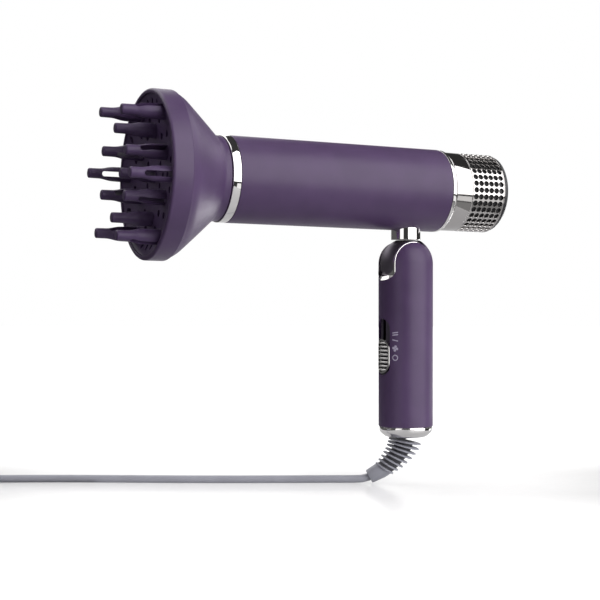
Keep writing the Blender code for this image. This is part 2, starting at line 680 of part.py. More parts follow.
# The lead's route by hand: distances along AWAY and ACROSS, and the height.
LEAD = (
    (24.2, 0.0, -185.5), (28.2, 0.0, -186.5), (33.5, 0.1, CORD_Z), (48.0, 0.4, CORD_Z),
    (70.0, 1.0, CORD_Z), (95.0, 1.6, CORD_Z), (125.0, 1.7, CORD_Z), (155.0, 1.0, CORD_Z),
    (185.0, -0.4, CORD_Z), (215.0, -1.4, CORD_Z), (245.0, -1.3, CORD_Z), (272.0, -0.5, CORD_Z),
    (292.0, -0.1, CORD_Z),
)
COIL_LOW, COIL_HIGH = COIL_TURN_R[0] - 2.7, COIL_TURN_R[-1] + 2.7
PLUG_AWAY = COIL_AT + COIL_TURN_R[-1] + 1.5


def make_cord():
    route = [laid(*point) for point in LEAD]
    # The tube stops short of the coil's outer wall, which it would enter at a slant.
    lead = smooth_route(route, 12.0)
    edge = laid(COIL_AT, COIL_TURN_R[-1], 0)
    stop = [p for p in lead if (Vector((p.x, p.y, 0)) - edge).length > COIL_HIGH + CORD_D / 2 + GAP]
    cable("cord_lead", stop, CORD_D, None, "grey_rubber")
    top = FLOOR_Z + 10.4
    ring = [(FLOOR_Z, COIL_LOW), (FLOOR_Z, COIL_HIGH), (top, COIL_HIGH), (top, COIL_LOW)]
    part("cord_coil", moved(lathe(ring, 32, "Z"), edge), None, "grey_rubber")
    make_plug(COIL_TURN_R[-1])


def make_plug(centre_across):
    """A moulded plug with two round pins, lying flat beside the coil and pointing along ACROSS."""
    start = centre_across + 24
    height = FLOOR_Z + 13.2
    outline = (
        (0.0, 3.6, 3.6), (12.0, 5.2, 5.2), (16.0, 8.0, 7.4), (22.0, 13.5, 11.0), (30.0, 17.5, 13.0),
        (48.0, 18.0, 13.0),
    )
    shape = bmesh.new()
    rings = []
    for along, half_wide, half_tall in outline:
        sink = (13.0 - half_tall) * max(0.0, 1 - along / 30)
        ring = []
        for k in range(16):
            turn = math.tau * k / 16
            wide = half_wide * math.copysign(abs(math.cos(turn)) ** 0.7, math.cos(turn))
            tall = half_tall * math.copysign(abs(math.sin(turn)) ** 0.7, math.sin(turn))
            ring.append(shape.verts.new(laid(PLUG_AWAY + wide, start + along, height - sink + tall)))
        rings.append(ring)
    for low, high in zip(rings, rings[1:]):
        for k in range(16):
            shape.faces.new((low[k - 1], low[k], high[k], high[k - 1]))
    shape.faces.new(rings[0])
    shape.faces.new(rings[-1])
    part("plug_body", shape, None, "grey_rubber")
    face = start + 48.0
    for name, side in (("plug_pin_left", -9.5), ("plug_pin_right", 9.5)):
        pin = [(face + GAP, 0), (face + GAP, 2.4), (face + 18.0, 2.4), (face + 19.0, 1.6), (face + 19.0, 0)]
        shape = lathe(pin, 12)
        turn = Matrix.Rotation(math.atan2(ACROSS.y, ACROSS.x), 3, "Z")
        bmesh.ops.rotate(shape, verts=shape.verts, matrix=turn)
        part(name, moved(shape, laid(PLUG_AWAY + side, 0, height)), None, "brass")
    # The cord's last stretch, from the coil's outer wall into the plug's neck.
    tail = [laid(PLUG_AWAY, across, FLOOR_Z + 3.8) for across in (start - 6.4, start - 3.4, start - GAP)]
    cable("cord_tail", tail, CORD_D, None, "grey_rubber")


make_barrel()
make_heater()
make_motor()
make_rear()
make_neck()
make_diffuser()
make_handle()
make_switch()
make_end()
make_relief()
make_cord()
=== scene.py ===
"""The looks of a folding hair dryer with a pronged diffuser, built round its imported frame.

The shape helpers work in millimetres. ROW is the row frame's axes, and HEAD the barrel's, which are
tilted a little.
"""

import json
import math

import bmesh
import bpy
from mathutils import Matrix, Vector


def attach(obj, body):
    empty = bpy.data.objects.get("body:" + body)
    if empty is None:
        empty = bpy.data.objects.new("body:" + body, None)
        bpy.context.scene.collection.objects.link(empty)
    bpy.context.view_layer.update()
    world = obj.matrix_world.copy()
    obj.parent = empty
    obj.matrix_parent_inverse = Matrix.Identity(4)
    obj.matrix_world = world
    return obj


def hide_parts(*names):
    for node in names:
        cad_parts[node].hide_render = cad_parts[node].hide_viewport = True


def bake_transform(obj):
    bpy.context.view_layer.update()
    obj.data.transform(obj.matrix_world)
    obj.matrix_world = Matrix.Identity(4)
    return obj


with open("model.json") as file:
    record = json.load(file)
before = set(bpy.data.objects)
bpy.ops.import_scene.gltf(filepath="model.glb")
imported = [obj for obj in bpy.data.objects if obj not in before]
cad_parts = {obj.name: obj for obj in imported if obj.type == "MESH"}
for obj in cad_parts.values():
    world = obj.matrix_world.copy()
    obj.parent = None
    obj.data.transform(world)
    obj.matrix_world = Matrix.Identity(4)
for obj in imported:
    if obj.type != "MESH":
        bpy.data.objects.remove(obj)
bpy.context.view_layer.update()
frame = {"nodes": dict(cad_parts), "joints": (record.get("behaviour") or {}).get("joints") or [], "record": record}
NODES = frame["nodes"]
JOINTS = {joint["name"]: joint for joint in frame["joints"]}
MM = 0.001
BARREL_AXIS = Vector(JOINTS["fan_spin"]["axis"])
ROW = Matrix.Identity(4)
HEAD = Matrix.Rotation(math.atan2(-BARREL_AXIS.z, BARREL_AXIS.x), 4, "Y")


def span(node, axes=ROW):
    """A CAD node's lowest and highest corners along the given axes, in millimetres."""
    back = axes.inverted()
    places = [back @ vertex.co / MM for vertex in NODES[node].data.vertices]
    return [Vector([pick(place[i] for place in places) for i in range(3)]) for pick in (min, max)]


def tube_span(node):
    """Where a round node of the head starts and ends along the barrel's axis, and its outer radius."""
    low, high = span(node, HEAD)
    return low.x, high.x, (high.z - low.z) / 2


BARREL_FRONT, BARREL_REAR, BARREL_R = tube_span("barrel_shell")
NOSE_FRONT, NOSE_REAR, NOSE_R = tube_span("nose_ring")
TRIM_FRONT, TRIM_REAR, TRIM_R = tube_span("rear_trim_ring")
CAP_FRONT, CAP_REAR, CAP_R = tube_span("filter_cap")
SCREEN_FRONT, SCREEN_REAR, SCREEN_R = tube_span("filter_screen")
GRILLE_FRONT, GRILLE_REAR, GRILLE_R = tube_span("rear_grille")
RIM_FRONT, COLLAR_REAR, RIM_R = tube_span("diffuser_bowl")
PLATE_R = tube_span("diffuser_plate")[2]
SPIGOT_FRONT, SPIGOT_REAR, SPIGOT_WIDE_R = tube_span("nozzle_spigot")
SPIGOT_R = tube_span("diffuser_grip_ring")[2] - 1.7
HINGE_Z = JOINTS["handle_fold"]["pos_m"][2] / MM
HANDLE_R = span("handle_shell")[1].y
HANDLE_END = span("handle_shell")[0].z
CAP_END = span("end_cap")[0].z
NECK_R = span("neck_stem")[1].y
NECK_LOW = span("neck_stem")[0].z
KNUCKLE_LOW, KNUCKLE_HIGH = span("hinge_knuckle")
KNUCKLE_HALF = KNUCKLE_HIGH.y
KNUCKLE_R = HINGE_Z - KNUCKLE_LOW.z
SLIDER_LOW, SLIDER_HIGH = span("switch_slider")
FLOOR_Z = span("cord_coil")[0].z
CORD_R = 2.5
YAW = math.radians(24.5)  # the camera's heading, from +Y towards +X
AWAY = Vector((-math.cos(YAW), math.sin(YAW), 0))
ACROSS = Vector((-math.sin(YAW), -math.cos(YAW), 0))


def laid(away, across, height):
    """A point of the cord, from distances along AWAY and ACROSS from the handle's axis, and a height."""
    return away * AWAY + across * ACROSS + Vector((0, 0, height))


# ---------------------------------------------------------------- materials


class Tree:
    """A material's nodes, with short calls for the few kinds that the finishes use."""

    def __init__(self, name):
        self.material = bpy.data.materials.new(name)
        self.material.use_nodes = True
        self.nodes = self.material.node_tree.nodes
        self.links = self.material.node_tree.links
        self.shader = self.nodes["Principled BSDF"]
        self.place = self.nodes.new("ShaderNodeTexCoord").outputs["Object"]

    def noise(self, scale, detail=2.0, stretch=(1, 1, 1)):
        mapping = self.nodes.new("ShaderNodeMapping")
        mapping.inputs["Scale"].default_value = stretch
        self.links.new(self.place, mapping.inputs["Vector"])
        made = self.nodes.new("ShaderNodeTexNoise")
        made.inputs["Scale"].default_value = scale
        made.inputs["Detail"].default_value = detail
        self.links.new(mapping.outputs["Vector"], made.inputs["Vector"])
        return made.outputs["Fac"]

    def ramp(self, value, low, high):
        """The value, which lies round 0.3 to 0.7, mapped to low to high."""
        made = self.nodes.new("ShaderNodeMapRange")
        made.inputs["From Min"].default_value = 0.3
        made.inputs["From Max"].default_value = 0.7
        made.inputs["To Min"].default_value = low
        made.inputs["To Max"].default_value = high
        self.links.new(value, made.inputs["Value"])
        return made.outputs["Result"]

    def colour(self, value, dark, light):
        made = self.nodes.new("ShaderNodeMix")
        made.data_type = "RGBA"
        made.inputs["A"].default_value = (*dark, 1)
        made.inputs["B"].default_value = (*light, 1)
        self.links.new(value, made.inputs["Factor"])
        self.links.new(made.outputs["Result"], self.shader.inputs["Base Color"])

    def bump(self, value, depth, strength=1.0):
        """Raises the surface by up to depth metres, on top of any bump there already."""
        made = self.nodes.new("ShaderNodeBump")
        made.inputs["Distance"].default_value = depth
        made.inputs["Strength"].default_value = strength
        self.links.new(value, made.inputs["Height"])
        already = self.shader.inputs["Normal"].links
        if already:
            self.links.new(already[0].from_socket, made.inputs["Normal"])
        self.links.new(made.outputs["Normal"], self.shader.inputs["Normal"])


def finish(
    name, colour, rough, metallic=0.0, vary=0.08, rough_vary=0.03, grain=2500, depth=2e-5, **sockets
):
    """A moulded, coated or plated finish: clouded colour, uneven roughness and a fine grain."""
    tree = Tree(name)
    cloud = tree.ramp(tree.noise(60), 0, 1)
    tree.colour(cloud, [c * (1 - vary) for c in colour], [min(1, c * (1 + vary)) for c in colour])
    uneven = tree.ramp(tree.noise(240, 4), rough - rough_vary, rough + rough_vary)
    tree.links.new(uneven, tree.shader.inputs["Roughness"])
    tree.shader.inputs["Metallic"].default_value = metallic
    for socket, value in sockets.items():
        tree.shader.inputs[socket.replace("_", " ")].default_value = value
    if depth:
        tree.bump(tree.noise(grain, 1), depth, 0.5)
    return tree


def brushed(name, colour, rough, stretch):
    """Metal drawn or brushed one way."""
    tree = finish(name, colour, rough, 1.0, depth=0)
    tree.bump(tree.noise(900, 3, stretch), 1e-5, 0.6)
    return tree.material


def woven_screen():
    """Fine black filter cloth, whose threads stand up and dip."""
    tree = finish("screen_cloth", (0.012, 0.012, 0.014), 0.6, depth=0)
    for axis in ("X", "Z"):
        made = tree.nodes.new("ShaderNodeTexWave")
        made.bands_direction = axis
        made.inputs["Scale"].default_value = 500
        tree.links.new(tree.place, made.inputs["Vector"])
        tree.bump(made.outputs["Fac"], 1e-4, 0.7)
    return tree.material


PURPLE = finish(
    "soft_purple", (0.073, 0.041, 0.105), 0.4, grain=5200, depth=2.5e-5, Specular_IOR_Level=0.36
).material
# The same purple plastic made a little darker: painted shade for the recessed prong plate.
PURPLE_PAINTED_SHADE = finish(
    "dark_purple", (0.066, 0.038, 0.098), 0.42, grain=4000, depth=3e-5, Specular_IOR_Level=0.3
).material
CHROME = finish("chrome", (0.86, 0.84, 0.83), 0.045, 1.0, 0.02, 0.012, depth=0).material
NICKEL = finish("nickel", (0.56, 0.54, 0.53), 0.07, 1.0, 0.03, 0.015, depth=0).material
DARK_CHROME = finish("dark_chrome", (0.17, 0.15, 0.18), 0.48, 1.0, 0.03, 0.02, depth=0).material
STEEL = brushed("steel", (0.6, 0.6, 0.6), 0.3, (1, 12, 12))
BLACK = finish("black_plastic", (0.014, 0.013, 0.016), 0.35, grain=1800, depth=6e-5).material
TRAY = finish("tray_plastic", (0.05, 0.041, 0.06), 0.3, grain=1800, depth=4e-5).material
MICA = finish("mica", (0.55, 0.47, 0.33), 0.55, vary=0.25, grain=900, depth=5e-5).material
NICHROME = brushed("nichrome", (0.35, 0.3, 0.27), 0.4, (8, 8, 8))
BRASS = brushed("brass", (0.72, 0.55, 0.27), 0.25, (1, 10, 10))
GREEN = finish("circuit_green", (0.03, 0.16, 0.07), 0.35, vary=0.2).material
RUBBER = finish("grey_rubber", (0.31, 0.31, 0.355), 0.38, vary=0.05, grain=3000, depth=3e-5).material
# A darker copy of the grey rubber: painted shade for the gaps between the relief's fins.
RUBBER_PAINTED_SHADE = finish("grey_rubber_painted_shade", (0.09, 0.088, 0.1), 0.6, grain=3000, depth=3e-5).material
MARKING = finish("marking_ink", (0.42, 0.37, 0.5), 0.5, vary=0.03, depth=0).material
SCREEN = woven_screen()
BY_SLOT = {
    "soft_purple": PURPLE, "dark_purple": PURPLE_PAINTED_SHADE, "chrome": CHROME, "dark_chrome": DARK_CHROME,
    "steel": STEEL, "black_plastic": BLACK, "mica": MICA, "nichrome": NICHROME, "brass": BRASS,
    "circuit_green": GREEN, "grey_rubber": RUBBER,
}
SLOT_OF = {part["node"]: part["material_slot"] for part in frame["record"]["subparts"]}


# ---------------------------------------------------------------- shapes, in millimetres


def rounded(corners, steps=4):
    """An outline whose corners, given as (a, b) or (a, b, reach), are rounded over their reach."""
    found = []
    for before, corner, after in zip(corners[-1:] + corners[:-1], corners, corners[1:] + corners[:1]):
        here = Vector(corner[:2])
        if len(corner) == 2:
            found.append(tuple(here))
            continue
        start = here + (Vector(before[:2]) - here).normalized() * corner[2]
        end = here + (Vector(after[:2]) - here).normalized() * corner[2]
        for k in range(steps + 1):
            t = k / steps
            found.append(tuple((1 - t) ** 2 * start + 2 * t * (1 - t) * here + t * t * end))
    return found


def arc(centre, radius, start, end, steps):
    """Points on a circle, from start to end in degrees."""
    turns = [math.radians(start + (end - start) * k / steps) for k in range(steps + 1)]
    return [(centre[0] + radius * math.cos(t), centre[1] + radius * math.sin(t)) for t in turns]


def lathe(outline, sides=128, axis="X"):
    """Turns a closed outline of (distance along the axis, radius) right round the axis."""
    shape = bmesh.new()
    ring = [shape.verts.new((along, 0, radius)) for along, radius in outline]
    edges = [shape.edges.new((a, b)) for a, b in zip(ring, ring[1:] + ring[:1])]
    for edge in [e for e in edges if all(v.co.z < 1e-6 for v in e.verts)]:
        shape.edges.remove(edge)
        edges.remove(edge)
    bmesh.ops.spin(
        shape, geom=ring + edges, cent=(0, 0, 0), axis=(1, 0, 0), angle=math.tau, steps=sides,
        use_merge=True,
    )
    bmesh.ops.remove_doubles(shape, verts=shape.verts, dist=1e-4)
    if axis == "Z":
        bmesh.ops.rotate(shape, verts=shape.verts, matrix=Matrix.Rotation(-math.pi / 2, 3, "Y"))
    if axis == "Y":
        bmesh.ops.rotate(shape, verts=shape.verts, matrix=Matrix.Rotation(math.pi / 2, 3, "Z"))
    return shape


def rod(radius, low, high, axis="X", sides=32, edge=0.0):
    corner = (edge,) if edge else ()
    return lathe(rounded([(low, 0), (low, radius, *corner), (high, radius, *corner), (high, 0)]), sides, axis)


def tube(outer, inner, low, high, axis="X", sides=128):
    return lathe([(low, inner), (low, outer), (high, outer), (high, inner)], sides, axis)


def box(low, high):
    shape = bmesh.new()
    bmesh.ops.create_cube(shape, size=1)
    low, high = Vector(low), Vector(high)
    bmesh.ops.scale(shape, verts=shape.verts, vec=high - low)
    bmesh.ops.translate(shape, verts=shape.verts, vec=(low + high) / 2)
    return shape


def prism(outline, low, high):
    """Extrudes a closed outline of (y, z) points along X."""
    shape = bmesh.new()
    face = shape.faces.new([shape.verts.new((low, y, z)) for y, z in outline])
    grown = bmesh.ops.extrude_face_region(shape, geom=[face])["geom"]
    moving = [v for v in grown if isinstance(v, bmesh.types.BMVert)]
    bmesh.ops.translate(shape, verts=moving, vec=(high - low, 0, 0))
    return shape


def moved(shape, by=(0, 0, 0), turn=0.0, axis="X"):
    """Shifts a shape, then turns it by so many degrees about an axis through the origin."""
    bmesh.ops.translate(shape, verts=shape.verts, vec=by)
    bmesh.ops.rotate(shape, verts=shape.verts, matrix=Matrix.Rotation(math.radians(turn), 3, axis))
    return shape


def joined(*shapes):
    """Several shapes as one."""
    whole = bmesh.new()
    for shape in shapes:
        bmesh.ops.recalc_face_normals(shape, faces=shape.faces)
        mesh = bpy.data.meshes.new("joined")
        shape.to_mesh(mesh)
        shape.free()
        whole.from_mesh(mesh)
        bpy.data.meshes.remove(mesh)
    return whole


def boolean(target, tool, operation="DIFFERENCE"):
    """The difference, union or intersection of two shapes, as a new shape."""
    made = []
    for shape in (target, tool):
        bmesh.ops.recalc_face_normals(shape, faces=shape.faces)
        mesh = bpy.data.meshes.new("boolean")
        shape.to_mesh(mesh)
        shape.free()
        thing = bpy.data.objects.new("boolean", mesh)
        bpy.context.scene.collection.objects.link(thing)
        made.append(thing)
    modifier = made[0].modifiers.new("Boolean", "BOOLEAN")
    modifier.operation = operation
    modifier.solver = "EXACT"
    modifier.object = made[1]
    bpy.context.view_layer.update()
    found = bmesh.new()
    found.from_mesh(made[0].evaluated_get(bpy.context.evaluated_depsgraph_get()).to_mesh())
    for thing in made:
        mesh = thing.data
        bpy.data.objects.remove(thing)
        bpy.data.meshes.remove(mesh)
    return found


def hoop(shape, centre, radius, side, up, sides):
    """A round ring of vertices, in the plane of side and up."""
    turns = [math.tau * k / sides for k in range(sides)]
    return [shape.verts.new(centre + radius * (math.cos(t) * side + math.sin(t) * up)) for t in turns]


def skin(shape, rings, ends=True):
    """Faces from each ring of vertices to the next and, with ends, over the first and the last."""
    for low, high in zip(rings, rings[1:]):
        for k in range(len(low)):
            shape.faces.new((low[k - 1], low[k], high[k], high[k - 1]))
    if ends:
        shape.faces.new(rings[0])
        shape.faces.new(rings[-1])


def loft(sections, sides=48):
    """A closed skin over (centre, direction, radius) sections, each square to its direction."""
    shape = bmesh.new()
    rings = []
    for centre, direction, radius in sections:
        along = Vector(direction).normalized()
        side = along.cross(Vector((0, 0, 1)))
        side = side.normalized() if side.length > 0.05 else ACROSS.copy()
        rings.append(hoop(shape, centre, radius, side, side.cross(along), sides))
    skin(shape, rings)
    return shape


def piece(name, shape, material, body, axes=ROW, stands_for=(), smooth=32):
    """Makes the shape one shaded object that rides on a body and stands for CAD nodes."""
    bmesh.ops.recalc_face_normals(shape, faces=shape.faces)
    mesh = bpy.data.meshes.new(name)
    shape.to_mesh(mesh)
    shape.free()
    mesh.transform(axes @ Matrix.Scale(MM, 4))
    mesh.materials.append(material)
    mesh.shade_smooth()
    mesh.set_sharp_from_angle(angle=math.radians(smooth))
    made = bpy.data.objects.new(name, mesh)
    bpy.context.scene.collection.objects.link(made)
    if body:
        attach(made, body)
    if stands_for:
        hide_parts(*stands_for)
    return made


# ---------------------------------------------------------------- camera, studio and floor


def make_camera():
    data = bpy.data.cameras.new("camera")
    data.sensor_width = 36.0
    data.lens = 84.7
    data.clip_start = 0.05
    data.clip_end = 50.0
    camera = bpy.data.objects.new("camera", data)
    bpy.context.scene.collection.objects.link(camera)
    camera.location = (-0.4394, -0.7999, -0.0657)
    pitch = math.radians(0.35)
    heading = Vector((math.sin(YAW) * math.cos(pitch), math.cos(YAW) * math.cos(pitch), -math.sin(pitch)))
    camera.rotation_mode = "QUATERNION"
    camera.rotation_quaternion = heading.to_track_quat("-Z", "Y")
    bpy.context.scene.camera = camera


class Sky:
    """The studio round the object: soft boxes as soft-edged patches of azimuth and elevation, in degrees."""

    def __init__(self):
        world = bpy.data.worlds.new("studio")
        world.use_nodes = True
        bpy.context.scene.world = world
        self.nodes = world.node_tree.nodes
        self.links = world.node_tree.links
        way = self.nodes.new("ShaderNodeTexCoord").outputs["Generated"]
        front = self.dot(way, (-math.sin(YAW), -math.cos(YAW), 0))
        right = self.dot(way, (math.cos(YAW), -math.sin(YAW), 0))
        self.azimuth = self.degrees(self.math("ARCTAN2", right, front))
        self.elevation = self.degrees(self.math("ARCSINE", self.dot(way, (0, 0, 1))))
        self.total = self.math("ADD", 0.0, 0.0)

    def dot(self, way, axis):
        made = self.nodes.new("ShaderNodeVectorMath")
        made.operation = "DOT_PRODUCT"
        self.links.new(way, made.inputs[0])
        made.inputs[1].default_value = axis
        return made.outputs["Value"]

    def math(self, operation, *values):
        made = self.nodes.new("ShaderNodeMath")
        made.operation = operation
        for socket, value in zip(made.inputs, values):
            if isinstance(value, (int, float)):
                socket.default_value = value
            else:
                self.links.new(value, socket)
        return made.outputs[0]

    def degrees(self, value):
        return self.math("MULTIPLY", value, 180 / math.pi)

    def step(self, value, start, end):
        made = self.nodes.new("ShaderNodeMapRange")
        made.interpolation_type = "SMOOTHSTEP"
        made.inputs["From Min"].default_value = start
        made.inputs["From Max"].default_value = end
        self.links.new(value, made.inputs["Value"])
        return made.outputs["Result"]

    def patch(self, strength, azimuths, elevations, soft=3.0):
        low = self.step(self.azimuth, azimuths[0] - soft, azimuths[0] + soft)
        high = self.step(self.azimuth, azimuths[1] + soft, azimuths[1] - soft)
        under = self.step(self.elevation, elevations[0] - soft, elevations[0] + soft)
        over = self.step(self.elevation, elevations[1] + soft, elevations[1] - soft)
        level = self.math("MULTIPLY", self.math("MULTIPLY", low, high), self.math("MULTIPLY", under, over))
        self.total = self.math("ADD", self.total, self.math("MULTIPLY", level, strength))

    def done(self):
        """Lights the scene with the patches, and shows the camera a plain white backdrop."""
        lit = self.nodes["Background"]
        self.links.new(self.total, lit.inputs["Color"])
        plain = self.nodes.new("ShaderNodeBackground")
        plain.inputs["Color"].default_value = (1, 1, 1, 1)
        plain.inputs["Strength"].default_value = 1.0
        mix = self.nodes.new("ShaderNodeMixShader")
        seen = self.nodes.new("ShaderNodeLightPath").outputs["Is Camera Ray"]
        self.links.new(seen, mix.inputs["Fac"])
        self.links.new(lit.outputs["Background"], mix.inputs[1])
        self.links.new(plain.outputs["Background"], mix.inputs[2])
        self.links.new(mix.outputs["Shader"], self.nodes["World Output"].inputs["Surface"])


def make_studio():
    """A dim room: a tall soft box to the camera's right, a narrow one to its left, more behind and above."""
    bpy.context.scene.view_settings.view_transform = "Standard"
    sky = Sky()
    sky.patch(0.04, (-200, 200), (-100, 100))
    sky.patch(3.0, (16, 88), (-9, 62), 1.2)
    sky.patch(0.95, (46, 104), (-26, -13.5), 0.5)
    sky.patch(0.26, (40, 150), (-75, -28.5), 1.5)
    sky.patch(1.2, (-49, -21), (-12, 18), 1.5)
    sky.patch(0.7, (168, 200), (-40, 20), 4)
    sky.patch(0.8, (-200, -168), (-40, 20), 4)
    sky.patch(6.0, (122, 168), (-32, -8), 4)
    sky.patch(0.8, (-110, -45), (30, 62), 6)
    sky.patch(1.7, (-190, -105), (20, 64), 6)
    sky.patch(1.6, (98, 146), (14, 46), 5)
    sky.patch(1.8, (-200, 200), (74, 100), 3)
    sky.patch(0.06, (-160, -55), (-60, 10), 6)
    sky.done()


def flat_sheet(name, near, far, side, height, material):
    """A level sheet lined up with the camera's heading, which isn't part of the object."""
    forward = Vector((math.sin(YAW), math.cos(YAW), 0))
    right = Vector((math.cos(YAW), -math.sin(YAW), 0))
    shape = bmesh.new()
    corners = [(near, -side), (near, side), (far, side), (far, -side)]
    shape.faces.new([shape.verts.new(a * forward + b * right + Vector((0, 0, height))) for a, b in corners])
    sheet = piece(name, shape, material, None)
    return sheet


def make_floor():
    """A wide pale floor that only the camera sees, and under it a glowing card that only lights."""
    tree = finish("table_top", (0.8, 0.79, 0.79), 0.16, vary=0.01, rough_vary=0.01, depth=0)
    tree.shader.inputs["Emission Color"].default_value = (1, 1, 1, 1)
    # The floor's glow is painted light. It grows away from the cord's line, so that the gloss shows only round the
    # cord and the relief, and the dimmer band there is painted shade.
    ahead = tree.nodes.new("ShaderNodeVectorMath")
    ahead.operation = "DOT_PRODUCT"
    ahead.inputs[1].default_value = (math.sin(YAW), math.cos(YAW), 0)
    tree.links.new(tree.place, ahead.inputs[0])
    apart = tree.nodes.new("ShaderNodeMath")
    apart.operation = "ABSOLUTE"
    tree.links.new(ahead.outputs["Value"], apart.inputs[0])
    glow = tree.nodes.new("ShaderNodeMapRange")
    glow.interpolation_type = "SMOOTHSTEP"
    glow.inputs["From Min"].default_value = 0.04
    glow.inputs["From Max"].default_value = 0.17
    glow.inputs["To Min"].default_value = 0.24
    glow.inputs["To Max"].default_value = 0.6
    tree.links.new(apart.outputs["Value"], glow.inputs["Value"])
    tree.links.new(glow.outputs["Result"], tree.shader.inputs["Emission Strength"])
    floor = flat_sheet("table_top", -4000, 4000, 4000, FLOOR_Z - 0.2, tree.material)
    floor.visible_diffuse = False
    floor.visible_glossy = False
    floor.visible_shadow = False
    grey = finish("bounce_card", (0.3, 0.3, 0.31), 0.5, vary=0.01, rough_vary=0.01, depth=0)
    grey.shader.inputs["Emission Color"].default_value = (1, 1, 1, 1)
    grey.shader.inputs["Emission Strength"].default_value = 0.21
    card = flat_sheet("bounce_card", -480, 1500, 200, FLOOR_Z - 0.4, grey.material)
    card.visible_camera = False
    card.visible_shadow = False


# ---------------------------------------------------------------- cord

CORD_Z = FLOOR_Z + CORD_R
# The lead's route: distances along AWAY and ACROSS, and the height.
LEAD = (
    (21.0, 0.0, -184.0), (24.2, 0.0, -185.5), (28.2, 0.0, -186.5), (33.5, 0.1, CORD_Z),
    (48.0, 0.4, CORD_Z), (70.0, 1.0, CORD_Z), (95.0, 1.6, CORD_Z), (125.0, 1.7, CORD_Z),
    (155.0, 1.0, CORD_Z), (185.0, -0.4, CORD_Z), (215.0, -1.4, CORD_Z), (245.0, -1.3, CORD_Z),
    (272.0, -0.5, CORD_Z), (292.0, -0.1, CORD_Z),
)
COIL_AT = 304.0
TURN_R = (35.8, 30.7, 25.6, 20.5)
LAYER = 5.1


def smooth_route(points, step):
    """Points about step apart on a Catmull-Rom curve through the given ones."""
    ends = [2 * points[0] - points[1], *points, 2 * points[-1] - points[-2]]
    found = [points[0]]
    for before, a, b, after in zip(ends, ends[1:], ends[2:], ends[3:]):
        count = max(1, round((b - a).length / step))
        for k in range(1, count + 1):
            t = k / count
            found.append(
                0.5 * (2 * a + (b - before) * t + (2 * before - 5 * a + 4 * b - after) * t**2
                       + (3 * a - before - 3 * b + after) * t**3)
            )
    return found


def eased(value, start, end):
    """0 before start, 1 after end, and a smooth step between."""
    t = min(1.0, max(0.0, (value - start) / (end - start)))
    return t * t * (3 - 2 * t)


def coil_route():
    """Round turns inwards on the floor, up, and outwards again on top, leaving towards ACROSS."""
    found = []
    steps = 36
    for k in range(1, round(7.25 * steps) + 1):
        turn = 360 * k / steps
        radius = TURN_R[0]
        for n in range(3):  # each inward shift, at the end of a turn on the floor
            radius -= LAYER * eased(turn, 360 * n + 310, 360 * n + 360)
        for n in range(3):  # each outward shift on top, well before the place where the cord comes up
            radius += LAYER * eased(turn, 1440 + 360 * n + 195, 1440 + 360 * n + 248)
        height = CORD_Z + LAYER * eased(turn, 1440 - 112, 1440 - 45)
        angle = math.radians(turn)
        found.append(laid(COIL_AT + radius * math.sin(angle), TURN_R[0] - radius * math.cos(angle), height))
    return found


def tube_along(route, radius, sides=20):
    """A round tube whose rings are carried along the route without twisting."""
    shape = bmesh.new()
    rings = []
    side = ACROSS.copy()
    for before, here, after in zip([route[0], *route], route, [*route[1:], route[-1]]):
        along = (after - before).normalized()
        side = (side - side.dot(along) * along).normalized()
        rings.append(hoop(shape, here, radius, side, along.cross(side), sides))
    skin(shape, rings)
    return shape


def make_cord():
    plug_away = COIL_AT + TURN_R[0] + 1.5
    plug_start = TURN_R[0] + 24
    lead = smooth_route([laid(*point) for point in LEAD], 6.0)
    coil = coil_route()
    tail = [
        laid(plug_away - 0.7, plug_start - 17.5, CORD_Z + 4.4),
        laid(plug_away - 0.1, plug_start - 10.0, CORD_Z + 2.4),
        laid(plug_away, plug_start - 4.0, FLOOR_Z + 3.8),
        laid(plug_away, plug_start + 1.0, FLOOR_Z + 3.8),
    ]
    joint = smooth_route([lead[-1], coil[0]], 6.0)[1:-1]
    ending = smooth_route([coil[-1], *tail], 5.0)[1:]
    route = [*lead, *joint, *coil, *ending]
    shape = tube_along(route, CORD_R)
    cord = piece("cord", shape, RUBBER, None, stands_for=("cord_lead", "cord_coil", "cord_tail"))
    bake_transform(cord)
    make_plug(plug_away, plug_start)


def make_plug(away, start):
    """A moulded plug lying beside the coil, and its two pins."""
    axis_z = FLOOR_Z + 13.2
    outline = (
        (0.0, 3.6, 3.6), (4.0, 4.3, 4.3), (12.0, 5.2, 5.2), (16.0, 8.0, 7.4), (22.0, 13.5, 11.0),
        (30.0, 17.5, 13.0), (40.0, 17.9, 13.0), (47.0, 18.0, 13.0), (48.0, 17.2, 12.2),
    )
    shape = bmesh.new()
    rings = []
    stations = []
    for (a, wide_a, tall_a), (b, wide_b, tall_b) in zip(outline, outline[1:]):
        for k in range(4):
            t = k / 4
            stations.append((a + (b - a) * t, wide_a + (wide_b - wide_a) * t, tall_a + (tall_b - tall_a) * t))
    stations.append(outline[-1])
    for along, half_wide, half_tall in stations:
        sink = (13.0 - half_tall) * max(0.0, 1 - along / 30)
        ring = []
        for k in range(48):
            turn = math.tau * k / 48
            wide = half_wide * math.copysign(abs(math.cos(turn)) ** 0.7, math.cos(turn))
            tall = half_tall * math.copysign(abs(math.sin(turn)) ** 0.7, math.sin(turn))
            ring.append(shape.verts.new(laid(away + wide, start + along, axis_z - sink + tall)))
        rings.append(ring)
    skin(shape, rings)
    piece("plug", shape, RUBBER, "head", stands_for=("plug_body",))
    heading = math.degrees(math.atan2(ACROSS.y, ACROSS.x))
    for name, node, side in (("plug_pin_a", "plug_pin_left", -9.5), ("plug_pin_b", "plug_pin_right", 9.5)):
        face = start + 48.2
        pin = moved(rod(2.4, 0, 19.0, sides=32, edge=1.0), turn=heading, axis="Z")
        pin = moved(pin, laid(away + side, face, axis_z))
        piece(name, pin, BRASS, "head", stands_for=(node,))


# ---------------------------------------------------------------- head


